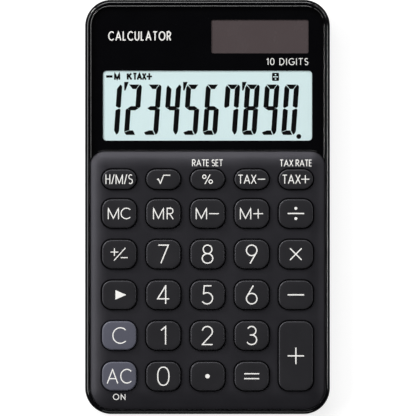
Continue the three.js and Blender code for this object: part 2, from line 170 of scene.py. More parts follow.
def outline(rect, inset=0.0, steps=CURVE_STEPS):
    """Points round a rectangle with round corners, anticlockwise, pulled in by inset."""
    x0, y0, x1, y1 = rect.x0 + inset, rect.y0 + inset, rect.x1 - inset, rect.y1 - inset
    top = max(rect.top_corner - inset, 0.02)
    low = max(rect.low_corner - inset, 0.02)
    return (
        arc(x1 - low, y0 + low, low, low, -90, 0, steps)
        + arc(x1 - top, y1 - top, top, top, 0, 90, steps)
        + arc(x0 + top, y1 - top, top, top, 90, 180, steps)
        + arc(x0 + low, y0 + low, low, low, 180, 270, steps)
    )


def quarter_round(across, down, steps=6):
    """(inset, drop) pairs up a rounded edge, from its outer side to its top."""
    pairs = arc(0, 0, across, down, 0, 90, steps)
    return [(across - x, down - y) for x, y in pairs]


def anticlockwise(points):
    turns = sum(a[0] * b[1] - b[0] * a[1] for a, b in zip(points, [*points[1:], points[0]]))
    return list(points) if turns > 0 else list(reversed(points))


def covered(solids, voids=(), lines=()):
    """Triangles over what the solids cover and the voids don't, with edges along the lines."""
    points, faces, edges = [], [], []
    for shape in [*solids, *voids]:
        faces.append(list(range(len(points), len(points) + len(shape))))
        points += [Vector(point) for point in anticlockwise(shape)]
    for line in lines:
        first, count = len(points), len(line)
        edges += [(first + i, first + (i + 1) % count) for i in range(count)]
        points += [Vector(point) for point in line]
    points, _, triangles, _, _, sources = delaunay_2d_cdt(points, edges, faces, 1, 1e-5, True)
    kept = [t for t, under in zip(triangles, sources) if under and max(under) < len(solids)]
    return points, kept


def core_point(rect, x, y):
    """The nearest point of the lines that a round rectangle's edge keeps one corner radius from."""
    radius = rect.top_corner if y > (rect.y0 + rect.y1) / 2 else rect.low_corner
    core_x = min(max(x, rect.x0 + radius), rect.x1 - radius)
    core_y = min(max(y, rect.y0 + rect.low_corner), rect.y1 - rect.top_corner)
    return Vector((core_x, core_y)), radius


def depth_inside(rect, x, y):
    """How far a point is inside a round rectangle's edge."""
    core, radius = core_point(rect, x, y)
    away = (Vector((x, y)) - core).length
    if away > 0:
        return radius - away
    return min(x - rect.x0, rect.x1 - x, y - rect.y0, rect.y1 - y)


def moved_to(rect, x, y, inset):
    """The point at the given inset from a round rectangle's edge, square across from (x, y)."""
    core, radius = core_point(rect, x, y)
    return core + (Vector((x, y)) - core).normalized() * (radius - inset)


# ---------- meshes ----------
SHARP_ANGLE = math.radians(32)


class Form:
    """A closed mesh in the making, in millimetres."""

    def __init__(self):
        self.mesh = bmesh.new()

    def loop(self, points, height):
        return [self.mesh.verts.new((x, y, height)) for x, y in points]

    def bridge(self, first, second):
        count = len(first)
        for i in range(count):
            j = (i + 1) % count
            self.mesh.faces.new((first[i], first[j], second[j], second[i]))

    def stack(self, rings):
        """Loops at (points, height) pairs, each joined to the next; gives the two end loops."""
        loops = [self.loop(points, height) for points, height in rings]
        for first, second in zip(loops, loops[1:]):
            self.bridge(first, second)
        return loops[0], loops[-1]

    def fill(self, *loops):
        """A flat face inside the first loop and outside the others."""
        edges = []
        for loop in loops:
            for a, b in zip(loop, loop[1:] + loop[:1]):
                edges.append(self.mesh.edges.get((a, b)) or self.mesh.edges.new((a, b)))
        bmesh.ops.triangle_fill(self.mesh, use_beauty=True, edges=edges)

    def solid(self, rings):
        """A stack of loops that is closed at both ends."""
        for end in self.stack(rings):
            self.fill(end)
        return self

    def turned(self, profile, x=0.0, y=0.0, sides=4 * CURVE_STEPS):
        """A turned solid; the profile is (radius, height) pairs and starts and ends on the axis."""
        ends = [self.mesh.verts.new((x, y, profile[i][1])) for i in (0, -1)]
        rings = [(circle(x, y, radius, sides), height) for radius, height in profile[1:-1]]
        for end, loop in zip(ends, self.stack(rings)):
            for a, b in zip(loop, loop[1:] + loop[:1]):
                self.mesh.faces.new((a, b, end))
        return self

    def prism(self, points, low, high):
        """An upright solid with any outline."""
        loops = [self.loop(points, height) for height in (low, high)]
        self.bridge(*loops)
        for loop in loops:
            self.mesh.faces.new(loop)
        return self

    def slab(self, shapes, low, high):
        """One flat solid of everything that the overlapping shapes cover."""
        points, triangles = covered(shapes)
        under, over = self.loop(points, low), self.loop(points, high)
        border = set()
        for triangle in triangles:
            self.mesh.faces.new([over[i] for i in triangle])
            self.mesh.faces.new([under[i] for i in reversed(triangle)])
            border.update(zip(triangle, triangle[1:] + triangle[:1]))
        for a, b in border:
            if (b, a) not in border:
                self.mesh.faces.new((under[a], under[b], over[b], over[a]))
        loose = [vertex for vertex in (*under, *over) if not vertex.link_faces]
        bmesh.ops.delete(self.mesh, geom=loose, context="VERTS")
        return self

    def make(self, name):
        bmesh.ops.recalc_face_normals(self.mesh, faces=self.mesh.faces)
        bmesh.ops.scale(self.mesh, vec=(MM,) * 3, verts=self.mesh.verts)
        data = bpy.data.meshes.new(name)
        self.mesh.to_mesh(data)
        self.mesh.free()
        piece = bpy.data.objects.new(name, data)
        bpy.context.scene.collection.objects.link(piece)
        smooth(piece)
        return piece


def smooth(piece):
    piece.data.shade_smooth()
    piece.data.set_sharp_from_angle(angle=SHARP_ANGLE)


def combined(piece, tools, operation):
    """Joins or cuts a piece with other pieces, which are used up."""
    for tool in tools:
        change = piece.modifiers.new("combine", "BOOLEAN")
        change.operation = operation
        change.object = tool
        change.solver = "EXACT"
    bpy.context.view_layer.update()
    graph = bpy.context.evaluated_depsgraph_get()
    data = bpy.data.meshes.new_from_object(piece.evaluated_get(graph))
    piece.modifiers.clear()
    piece.data = data
    for tool in tools:
        bpy.data.objects.remove(tool)
    smooth(piece)
    return piece


# ---------- materials ----------
def put(tree, kind, values=None, **settings):
    """A new node; values sets its inputs by name, from numbers or from other nodes' outputs."""
    node = tree.nodes.new(kind)
    for key, value in settings.items():
        setattr(node, key, value)
    for key, value in (values or {}).items():
        if isinstance(value, bpy.types.NodeSocket):
            tree.links.new(value, node.inputs[key])
        else:
            node.inputs[key].default_value = value
    return node


def blank_material(name):
    material = bpy.data.materials.new(name)
    material.use_nodes = True
    tree = material.node_tree
    tree.nodes.clear()
    coordinates = put(tree, "ShaderNodeTexCoord")
    place = put(
        tree, "ShaderNodeVectorMath",
        {0: coordinates.outputs["Object"], 1: (1 / MM, 1 / MM, 1 / MM)}, operation="MULTIPLY",
    )
    return material, tree, place.outputs[0]


def surfaced(material, tree, shader):
    """Ends a material with its shader."""
    output = put(tree, "ShaderNodeOutputMaterial")
    tree.links.new(shader.outputs[0], output.inputs["Surface"])
    return material


def noise(tree, place, size, detail=2.0):
    """Noise from 0 to 1 whose lumps are about size millimetres across."""
    node = put(tree, "ShaderNodeTexNoise", {"Vector": place, "Scale": 1 / size, "Detail": detail})
    return node.outputs["Fac"]


def between(tree, factor, low, high, start=0.3, stop=0.7):
    """Turns a factor that runs from start to stop into a number from low to high."""
    values = {"Value": factor, 1: start, 2: stop, 3: low, 4: high}
    return put(tree, "ShaderNodeMapRange", values).outputs["Result"]


def tinted(tree, factor, first, second):
    """A colour that goes from first to second with the factor."""
    node = tree.nodes.new("ShaderNodeMix")
    node.data_type = "RGBA"
    tree.links.new(factor, node.inputs["Factor"])
    node.inputs["A"].default_value = (*first, 1)
    node.inputs["B"].default_value = (*second, 1)
    return node.outputs["Result"]


def shade(colour, factor):
    return tuple(min(1.0, channel * factor) for channel in colour)


Finish = namedtuple("Finish", "colour roughness spread patch grain depth shine metal tint",
                    defaults=(0.06, 9.0, 0.15, 0.0, 0.5, 0.0, (1, 1, 1)))


def finished(name, finish):
    """A solid surface: its colour and roughness drift in patches and a grain raises it slightly."""
    material, tree, place = blank_material(name)
    drift = noise(tree, place, finish.patch, 3.0)
    grain = noise(tree, place, finish.grain, 2.0)
    wide = between(tree, drift, 0, 1)
    darkest, lightest = [shade(finish.colour, 1 + way * finish.spread) for way in (-1, 1)]
    colour = tinted(tree, wide, darkest, lightest)
    rough = finish.roughness
    mixed = put(tree, "ShaderNodeMath", {0: drift, 1: grain}, operation="ADD").outputs[0]
    roughness = between(tree, mixed, rough * 0.92, rough * 1.08, 0.7, 1.3)
    bump = put(tree, "ShaderNodeBump", {"Strength": 1.0, "Distance": finish.depth * MM, "Height": grain})
    shader = put(tree, "ShaderNodeBsdfPrincipled", {
        "Base Color": colour, "Roughness": roughness, "Normal": bump.outputs["Normal"],
        "Specular IOR Level": finish.shine, "Specular Tint": (*finish.tint, 1), "Metallic": finish.metal,
    })
    return surfaced(material, tree, shader)


FINISHES = {
    "case_gloss_black": Finish((0.0028, 0.0028, 0.0036), 0.11, patch=14.0, grain=0.9, depth=0.0004,
                               shine=0.8),
    "panel_matte_grey": Finish((0.0095, 0.0092, 0.0112), 0.385, grain=0.16, depth=0.003, shine=0.95,
                               tint=(0.91, 0.89, 1.0)),
    "key_dark_grey": Finish((0.0150, 0.0147, 0.0165), 0.41, grain=0.12, depth=0.002,
                            tint=(0.92, 0.91, 1.0)),
    "key_blue_grey": Finish((0.088, 0.090, 0.118), 0.42, grain=0.12, depth=0.002),
    "plate_edge": Finish((0.0020, 0.0020, 0.0026), 0.14, patch=14.0, grain=0.9, depth=0.0002,
                         shine=0.95),
    "mask_gloss_black": Finish((0.0010, 0.0010, 0.0016), 0.2, grain=0.5),
    "legend_ink": Finish((0.90, 0.89, 0.86), 0.5, 0.02, 2.0, 0.1, 0.002, 0.3),
    "lcd_film": Finish((0.672, 0.826, 0.832), 0.5, 0.004, 20.0, 0.05, 0.001, 0.2),
    "lcd_dark": Finish((0.0012, 0.0012, 0.0014), 0.5, 0.1, 5.0, 0.1, 0.0, 0.1),
    "white_plastic": Finish((0.75, 0.75, 0.72), 0.45, 0.03, grain=0.3, depth=0.003),
    "silicone_rubber": Finish((0.48, 0.50, 0.50), 0.6, 0.05, 6.0, 0.2, 0.003, 0.35),
    "epoxy_black": Finish((0.005, 0.005, 0.006), 0.35, 0.2, 3.0, 0.8, 0.03),
    "component_tan": Finish((0.254, 0.144, 0.045), 0.5, 0.1, 1.0, 0.1, 0.004),
    "lead_red": Finish((0.35, 0.015, 0.015), 0.4, 0.08, 3.0, 0.2, 0.002),
    "lead_black": Finish((0.008, 0.008, 0.008), 0.4, 0.1, 3.0, 0.2, 0.002),
    "cell_steel": Finish((0.60, 0.60, 0.61), 0.22, 0.04, 2.0, 0.08, 0.001, metal=1.0),
    "spring_steel": Finish((0.55, 0.54, 0.50), 0.32, 0.06, 2.0, 0.1, 0.002, metal=1.0),
    "screw_steel": Finish((0.38, 0.38, 0.39), 0.34, 0.12, 0.6, 0.1, 0.004, metal=1.0),
}
LOOKS = {name: finished(name, finish) for name, finish in FINISHES.items()}


def clear_acrylic():
    """A clear sheet that adds only its surface reflection to what is behind it."""
    material, tree, place = blank_material("clear_acrylic")
    smear = noise(tree, place, 18.0, 3.0)
    roughness = between(tree, smear, 0.11, 0.14)
    gloss = put(tree, "ShaderNodeBsdfGlossy", {"Roughness": roughness})
    clear = put(tree, "ShaderNodeBsdfTransparent")
    fresnel = put(tree, "ShaderNodeFresnel", {"IOR": 1.49})
    side = put(tree, "ShaderNodeNewGeometry")
    front = put(tree, "ShaderNodeMath", {0: 1.0, 1: side.outputs["Backfacing"]}, operation="SUBTRACT")
    factors = {0: fresnel.outputs[0], 1: front.outputs[0]}
    share = put(tree, "ShaderNodeMath", factors, operation="MULTIPLY")
    layers = {0: share.outputs[0], 1: clear.outputs[0], 2: gloss.outputs[0]}
    mix = put(tree, "ShaderNodeMixShader", layers)
    return surfaced(material, tree, mix)


LOOKS["clear_acrylic"] = clear_acrylic()


def solar_glass():
    """Amorphous silicon behind glass: brown grey, with faint hairlines between its strips."""
    material, tree, place = blank_material("solar_glass")
    parts = put(tree, "ShaderNodeSeparateXYZ", {0: place})
    low, high = node_box("solar_cell")
    strips = 4
    pitch = (high.x - low.x) / strips
    along = put(tree, "ShaderNodeMath", {0: parts.outputs[0], 1: low.x}, operation="SUBTRACT")
    within = put(tree, "ShaderNodeMath", {0: along.outputs[0], 1: pitch}, operation="MODULO")
    line = put(tree, "ShaderNodeMath", {0: within.outputs[0], 1: 0.08}, operation="LESS_THAN")
    film = noise(tree, place, 6.0, 3.0)
    brown = tinted(tree, between(tree, film, 0, 1), (0.079, 0.062, 0.064), (0.082, 0.065, 0.067))
    mix = put(tree, "ShaderNodeMix", data_type="RGBA")
    tree.links.new(line.outputs[0], mix.inputs["Factor"])
    tree.links.new(brown, mix.inputs["A"])
    mix.inputs["B"].default_value = (0.083, 0.066, 0.068, 1)
    roughness = between(tree, film, 0.22, 0.3)
    shader = put(tree, "ShaderNodeBsdfPrincipled", {
        "Base Color": mix.outputs["Result"], "Roughness": roughness, "Specular IOR Level": 0.3,
    })
    return surfaced(material, tree, shader)


LOOKS["solar_glass"] = solar_glass()


def board_green():
    """Solder resist over copper tracks, which show as a lighter, raised pattern."""
    material, tree, place = blank_material("board_green")
    tracks = put(tree, "ShaderNodeTexBrick", {
        "Vector": place, "Scale": 1.0, "Mortar Size": 0.12, "Brick Width": 3.1, "Row Height": 1.1,
        "Color1": (0, 0, 0, 1), "Color2": (0, 0, 0, 1), "Mortar": (1, 1, 1, 1), "Mortar Smooth": 0.2,
    })
    weave = noise(tree, place, 0.4, 2.0)
    colour = tinted(tree, tracks.outputs["Fac"], (0.012, 0.080, 0.030), (0.020, 0.150, 0.050))
    roughness = between(tree, weave, 0.3, 0.42)
    bump = put(tree, "ShaderNodeBump", {"Distance": 0.03 * MM, "Height": tracks.outputs["Fac"]})
    shader = put(tree, "ShaderNodeBsdfPrincipled", {
        "Base Color": colour, "Roughness": roughness, "Normal": bump.outputs["Normal"],
    })
    return surfaced(material, tree, shader)


LOOKS["board_green"] = board_green()


def elastomer():
    """Conducting strip: fine dark layers across a pink silicone body."""
    material, tree, place = blank_material("elastomer")
    layers = put(tree, "ShaderNodeTexWave", {"Vector": place, "Scale": 1.6, "Distortion": 0.3},
                 wave_type="BANDS", bands_direction="X")
    colour = tinted(tree, layers.outputs["Fac"], (0.10, 0.05, 0.05), (0.65, 0.28, 0.30))
    grain = noise(tree, place, 0.2)
    shader = put(tree, "ShaderNodeBsdfPrincipled", {
        "Base Color": colour, "Roughness": between(tree, grain, 0.6, 0.75),
    })
    return surfaced(material, tree, shader)


LOOKS["elastomer"] = elastomer()


def fit(piece, body, look, replaces=()):
    """Gives a piece its material and its body, and hides the CAD nodes that it stands for."""
    piece.data.materials.clear()
    piece.data.materials.append(LOOKS[look])
    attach(piece, body)
    if replaces:
        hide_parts(*replaces)
    return piece


# ---------- case ----------
SCREW_PLACES = ("top_left", "top_right", "middle_left", "middle_right", "bottom_left", "bottom_right")
BOARD_SCREW_PLACES = ("upper_left", "upper_right", "lower_left", "lower_right")
CASE_SCREWS = [f"case_screw_{place}" for place in SCREW_PLACES]
BOARD_SCREWS = [f"board_screw_{place}" for place in BOARD_SCREW_PLACES]
KEYS = [node.removeprefix("key_") for node in sorted(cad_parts) if node.startswith("key_")]


def posts(places, radius, low, high, name):
    """Upright cylinders at the given nodes' centres, one object each."""
    profile = [(0, low), (radius, low), (radius, high), (0, high)]
    return [Form().turned(profile, *centre_of(node)).make(name) for node in places]


def grown(rect, by):
    return Rect(rect.x0 - by, rect.y0 - by, rect.x1 + by, rect.y1 + by,
                rect.top_corner + by, rect.low_corner + by)


def keys_rect():
    """The rectangle that holds every key and its flange."""
    boxes = [node_box(f"key_{name}") for name in KEYS]
    return Rect(
        min(low.x for low, _ in boxes), min(low.y for low, _ in boxes),
        max(high.x for _, high in boxes), max(high.y for _, high in boxes), 2.4, 2.4,
    )


def front_case():
    rect = rect_of("front_case", CASE_CORNER)
    low, high = heights_of("front_case")
    rings = [
        (WALL, DECK_BOTTOM),
        (WALL, low),
        *[(inset, low + drop) for inset, drop in reversed(quarter_round(EDGE_SOFT, EDGE_SOFT, 3))],
        *[(inset, high - drop) for inset, drop in quarter_round(RIM_ACROSS, RIM_DOWN, 14)],
        (RIM_INSET - 0.05, high),
        (RIM_INSET, high - 0.05),
        (RIM_INSET, DECK_TOP),
    ]
    form = Form()
    under, over = form.stack([(outline(rect, inset, 2 * CURVE_STEPS), z) for inset, z in rings])
    openings = [
        grown(rect_of("lcd_glass", 0.3), OPENING_ROOM),
        grown(rect_of("solar_cell", 0.3), OPENING_ROOM),
        grown(keys_rect(), KEY_ROOM),
    ]
    walls = [form.stack([(outline(o), DECK_BOTTOM), (outline(o), DECK_TOP)]) for o in openings]
    form.fill(under, *[wall[0] for wall in walls])
    form.fill(over, *[wall[1] for wall in walls])
    shell = form.make("front_case_shell")
    combined(shell, posts(CASE_SCREWS, BOSS_RADIUS, low, DECK_BOTTOM + 0.3, "boss"), "UNION")
    combined(shell, posts(CASE_SCREWS, SCREW_BORE, low - 1, DECK_BOTTOM + 0.2, "bore"), "DIFFERENCE")
    fit(shell, CASE, "case_gloss_black", ["front_case"])


def cell_ring(low):
    """The ring that centres the button cell, open towards the board."""
    x, y = centre_of("battery_cell")
    radius = rect_of("battery_cell", 0).x1 - x
    form = Form()
    sides = [(radius + 0.3, 40), (radius + 1.2, 40)]
    inner, outer = [arc(x, y, r, r, -90 + turn, 270 - turn, 48) for r, turn in sides]
    form.prism(outer + inner[::-1], low, 2.6)
    return form.make("ring")


def rear_case():
    rect = rect_of("rear_case", CASE_CORNER)
    low, high = heights_of("rear_case")
    rings = [
        (WALL, FLOOR_TOP),
        (WALL, high),
        *[(inset, high - drop) for inset, drop in reversed(quarter_round(EDGE_SOFT, EDGE_SOFT, 3))],
        *[(inset, low + drop) for inset, drop in quarter_round(REAR_ROUND, REAR_ROUND, 10)],
        (REAR_ROUND + 0.3, low),
    ]
    form = Form().solid([(outline(rect, inset, 2 * CURVE_STEPS), z) for inset, z in rings])
    shell = form.make("rear_case_shell")
    combined(shell, posts(CASE_SCREWS, REAR_BOSS_RADIUS, low + 0.5, high, "boss"), "UNION")
    combined(shell, [cell_ring(FLOOR_TOP - 0.2)], "UNION")
    r, d, b = COUNTERBORE_RADIUS, COUNTERBORE_DEPTH, SCREW_BORE
    cut = [(0, low - 1), (r + 0.6, low - 0.5), (r, low + 0.1), (r, d), (b, d), (b, high + 1),
           (0, high + 1.5)]
    for node in CASE_SCREWS:
        combined(shell, [Form().turned(cut, *centre_of(node)).make("cutter")], "DIFFERENCE")
    fit(shell, CASE, "case_gloss_black", ["rear_case"])


front_case()
rear_case()


# ---------- display window ----------
PANEL = rect_of("keypad_panel", PANEL_TOP_CORNER, PANEL_LOW_CORNER)
PLATE = rect_of("window_plate", PLATE_CORNER, inset=-PLATE_GROWTH)


def plate_outline(inset):
    """Round the top, down both sides to a point beside the panel, and along the panel's top edge."""
    side, top = PLATE.x1 - inset, PLATE.y1 - inset
    corner = PLATE_CORNER - inset
    near = PANEL_TOP_CORNER + PANEL_GAP + inset
    x, y = PANEL.x1 - PANEL_TOP_CORNER, PANEL.y1 - PANEL_TOP_CORNER
    meet = math.degrees(math.acos((side - x) / near))
    return (
        arc(side - corner, top - corner, corner, corner, 0, 90, 2 * CURVE_STEPS)
        + arc(corner - side, top - corner, corner, corner, 90, 180, 2 * CURVE_STEPS)
        + arc(-x, y, near, near, 180 - meet, 90)
        + arc(x, y, near, near, 90, meet)
    )


def window_plate():
    low, high = heights_of("window_plate")
    rings = [
        (0.05, low),
        (0, low + 0.05),
        *[(inset, high - drop) for inset, drop in quarter_round(PLATE_EDGE, PLATE_EDGE, 8)],
        (PLATE_EDGE + 0.1, high),
    ]
    form = Form().solid([(plate_outline(inset), z) for inset, z in rings])
    plate = form.make("window_plate_clear")
    fit(plate, CASE, "clear_acrylic", ["window_plate"])
    plate.data.materials.append(LOOKS["plate_edge"])
    for face in plate.data.polygons:
        face.material_index = int(face.normal.z < 0.99 and face.center.z > (low + 0.1) * MM)


def lcd_window():
    glass = rect_of("lcd_glass", 1.0)
    side, top, low = LCD_WINDOW_INSET
    return Rect(glass.x0 + side, glass.y0 + low, glass.x1 - side, glass.y1 - top, 1.0, 1.0)


def window_mask():
    low, high = heights_of("window_mask")
    solar = rect_of("solar_cell", 0.5, inset=SOLAR_WINDOW_INSET)
    form = Form()
    outside = form.stack([(plate_outline(MASK_INSET), z) for z in (low, high)])
    windows = [form.stack([(outline(w), z) for z in (low, high)]) for w in (lcd_window(), solar)]
    for end in (0, 1):
        form.fill(outside[end], *[window[end] for window in windows])
    fit(form.make("window_mask_film"), CASE, "mask_gloss_black", ["window_mask"])


window_plate()
window_mask()


# ---------- lettering ----------
# A glyph is its width and its strokes, on a middle line one unit tall.
Stroke = namedtuple("Stroke", "points width")
Area = namedtuple("Area", "points")
LETTER_GAP = 0.24


def oval(cx, cy, rx, ry, power=2.0):
    return arc(cx, cy, rx, ry, 0, 360, 48, power)


def s_shape(w):
    upper = arc(w / 2, 0.76, 0.92 * w / 2, 0.24, 38, 270, 20)
    lower = arc(w / 2, 0.26, w / 2, 0.26, 90, -142, 20)
    return upper + lower[1:]


GLYPHS = {
    "0": (0.62, [oval(0.31, 0.5, 0.31, 0.5, 2.3)]),
    "1": (0.25, [[(0, 0.78), (0.25, 1), (0.25, 0)]]),
    "2": (0.58, [arc(0.28, 0.715, 0.28, 0.285, 168, -34, 20) + [(0, 0), (0.58, 0)]]),
    "3": (0.55, [arc(0.27, 0.765, 0.24, 0.235, 150, -90, 22) + [(0.17, 0.53)],
                 arc(0.27, 0.265, 0.28, 0.265, 90, -152, 22)]),
    "4": (0.64, [[(0.64, 0.28), (0, 0.28), (0.45, 1)], [(0.45, 1.04), (0.45, 0)]]),
    "5": (0.56, [[(0.50, 1), (0.10, 1), (0.06, 0.55)] + arc(0.25, 0.31, 0.31, 0.31, 128, -146, 24)]),
    "6": (0.58, [oval(0.29, 0.29, 0.29, 0.29), [(0.38, 1.02), (0.04, 0.43)]]),
    "7": (0.55, [[(0, 1), (0.55, 1), (0.14, 0)]]),
    "8": (0.58, [oval(0.29, 0.265, 0.29, 0.265), oval(0.29, 0.765, 0.24, 0.235)]),
    "9": (0.58, [oval(0.29, 0.71, 0.29, 0.29), [(0.20, -0.02), (0.54, 0.57)]]),
    "A": (0.86, [[(0, -0.04), (0.43, 1), (0.86, -0.04)], [(0.14, 0.32), (0.72, 0.32)]]),
    "C": (0.84, [arc(0.5, 0.5, 0.5, 0.5, 45, 315, 30)]),
    "D": (0.76, [[(0, 0), (0.28, 0)] + arc(0.28, 0.5, 0.48, 0.5, -90, 90, 20) + [(0, 1), (0, 0)]]),
    "E": (0.46, [[(0.46, 1), (0, 1), (0, 0), (0.46, 0)], [(0, 0.52), (0.42, 0.52)]]),
    "G": (0.90, [arc(0.5, 0.5, 0.5, 0.5, 45, 352, 30), [(0.55, 0.45), (1.0, 0.45)]]),
    "H": (0.58, [[(0, -0.04), (0, 1.04)], [(0.58, -0.04), (0.58, 1.04)], [(0, 0.52), (0.58, 0.52)]]),
    "I": (0.0, [[(0, -0.04), (0, 1.04)]]),
    "K": (0.60, [[(0, -0.04), (0, 1.04)], [(0.58, 1.04), (0.02, 0.42)], [(0.2, 0.62), (0.62, -0.04)]]),
    "L": (0.42, [[(0, 1.04), (0, 0), (0.42, 0)]]),
    "M": (0.96, [[(0, -0.05), (0, 1), (0.48, 0.04), (0.96, 1), (0.96, -0.05)]]),
    "N": (0.72, [[(0, -0.05), (0, 1), (0.72, 0), (0.72, 1.05)]]),
    "O": (1.0, [oval(0.5, 0.5, 0.5, 0.5)]),
    "R": (0.58, [[(0, -0.04), (0, 1), (0.30, 1)] + arc(0.30, 0.74, 0.26, 0.26, 90, -90, 14) + [(0, 0.48)],
                 [(0.24, 0.48), (0.58, -0.04)]]),
    "S": (0.54, [s_shape(0.54)]),
    "T": (0.62, [[(-0.04, 1), (0.66, 1)], [(0.31, 1), (0.31, -0.04)]]),
    "U": (0.66, [[(0, 1.04)] + arc(0.33, 0.33, 0.33, 0.33, 180, 360, 16) + [(0.66, 1.04)]]),
    "X": (0.72, [[(0, -0.04), (0.70, 1.04)], [(0.02, 1.04), (0.72, -0.04)]]),
    "/": (0.36, [[(0, -0.04), (0.36, 1.04)]]),
    "+": (0.90, [[(0, 0.48), (0.90, 0.48)], [(0.45, 0.03), (0.45, 0.93)]]),
    "-": (0.90, [[(0, 0.48), (0.90, 0.48)]]),
    " ": (0.16, []),
}


def text(words, width, height, stroke, centre=(0.0, 0.0), gap=LETTER_GAP):
    """Letters fitted to an overall width and height."""
    units = sum(GLYPHS[c][0] for c in words) + gap * (len(words) - 1)
    across, up = (width - stroke) / units, height - stroke
    x, y = centre[0] - (width - stroke) / 2, centre[1] - up / 2
    shapes = []
    for letter in words:
        advance, lines = GLYPHS[letter]
        shapes += [Stroke([(x + u * across, y + v * up) for u, v in line], stroke) for line in lines]
        x += (advance + gap) * across
    return shapes


def bar(x, y, length, stroke):
    return Stroke([(x - length / 2, y), (x + length / 2, y)], stroke)


def upright(x, y, length, stroke):
    return Stroke([(x, y - length / 2), (x, y + length / 2)], stroke)


def dot(x, y, radius):
    return Area(circle(x, y, radius, 24))


def dense(points, step):
    """The same line with a point at least every step."""
    result = [points[0]]
    for (x0, y0), (x1, y1) in zip(points, points[1:]):
        count = max(1, math.ceil(math.hypot(x1 - x0, y1 - y0) / step))
        result += [(x0 + (x1 - x0) * i / count, y0 + (y1 - y0) * i / count) for i in range(1, count + 1)]
    return result


def ribbon(stroke):
    """A flat band along a stroke as a row of triangles, with mitred corners and square ends."""
    points = [Vector(point) for point in dense(stroke.points, 0.4)]
    closed = (points[0] - points[-1]).length < 1e-6
    if closed:
        points.pop()
    count = len(points)
    sections = []
    for i, point in enumerate(points):
        sides = []
        if i > 0 or closed:
            sides.append((point - points[i - 1]).normalized().orthogonal())
        if i < count - 1 or closed:
            sides.append((points[(i + 1) % count] - point).normalized().orthogonal())
        side = sum(sides, Vector((0, 0))) / len(sides)
        side *= min(1 / side.length_squared, 1.9 / side.length) * stroke.width / 2
        sections.append((point - side, point + side))
    spans = list(zip(sections, sections[1:])) + ([(sections[-1], sections[0])] if closed else [])
    return [corners for a, b in spans for corners in ((a[0], b[0], b[1]), (a[0], b[1], a[1]))]


def shifted(piece, x, y):
    """Moves a piece's mesh sideways, in millimetres; its object stays at the origin."""
    for vertex in piece.data.vertices:
        vertex.co.x += x * MM
        vertex.co.y += y * MM


def drawn(name, shapes, low, high):
    """One thin piece from flat shapes, which may overlap."""
    flat = []
    for shape in shapes:
        flat += [shape.points] if isinstance(shape, Area) else ribbon(shape)
    return Form().slab(flat, low, high).make(name)


# ---------- keypad panel ----------
def panel_height(edge_distance):
    """How high the panel's upper face is, from its distance to the panel's outline."""
    top = heights_of("keypad_panel")[1]
    bend = SLOPE_END - SLOPE_STRAIGHT
    slope = PANEL_RISE / (SLOPE_STRAIGHT + bend / 2)
    if edge_distance >= SLOPE_END:
        return top
    if edge_distance >= SLOPE_STRAIGHT:
        return top - slope * (SLOPE_END - edge_distance) ** 2 / (2 * bend)
    return top - slope * (bend / 2 + SLOPE_STRAIGHT - edge_distance)


def key_rect(name):
    """A key's cap, without its flange."""
    low, high = node_box(f"key_{name}")
    half = (high.y - low.y) / 2 - FLANGE_WIDTH
    return rect_of(f"key_{name}", min(KEY_CORNER, half - 0.001), inset=FLANGE_WIDTH)


def panel_top(form, lip, caps):
    """The panel's upper face: its border slopes down, and the key holes cut into the slope."""
    holes = [outline(cap, -lip) for cap in caps]
    steps = [EDGE_SOFT + (SLOPE_END - EDGE_SOFT) * i / SLOPE_STEPS for i in range(SLOPE_STEPS + 1)]
    border, *contours = [outline(PANEL, inset, 2 * CURVE_STEPS) for inset in steps]
    contours += [outline(cap, -lip - LIP_MARGIN) for cap in caps]
    points, triangles = covered([border], holes, contours)
    verts = [form.mesh.verts.new((x, y, panel_height(depth_inside(PANEL, x, y)))) for x, y in points]
    for triangle in triangles:
        form.mesh.faces.new([verts[i] for i in triangle])
    loose = [vertex for vertex in verts if not vertex.link_faces]
    bmesh.ops.delete(form.mesh, geom=loose, context="VERTS")


def rim_edges(form):
    return [edge for edge in form.mesh.edges if edge.is_boundary]


def lowered(form, edges, place):
    """Grows faces from open edges; place gives each new vertex its position from the old one."""
    grown_parts = bmesh.ops.extrude_edge_only(form.mesh, edges=edges)["geom"]
    for part in grown_parts:
        if isinstance(part, bmesh.types.BMVert):
            part.co = place(part.co)


def ordered(form):
    """The same mesh, its parts in order of place: growing edges leaves them in any order."""
    verts = sorted(form.mesh.verts, key=lambda vertex: tuple(vertex.co))
    rank = {vertex: i for i, vertex in enumerate(verts)}
    faces = [[rank[vertex] for vertex in face.verts] for face in form.mesh.faces]
    result = Form()
    copies = [result.mesh.verts.new(vertex.co) for vertex in verts]
    for corners in sorted(faces, key=sorted):
        result.mesh.faces.new([copies[i] for i in corners])
    form.mesh.free()
    return result


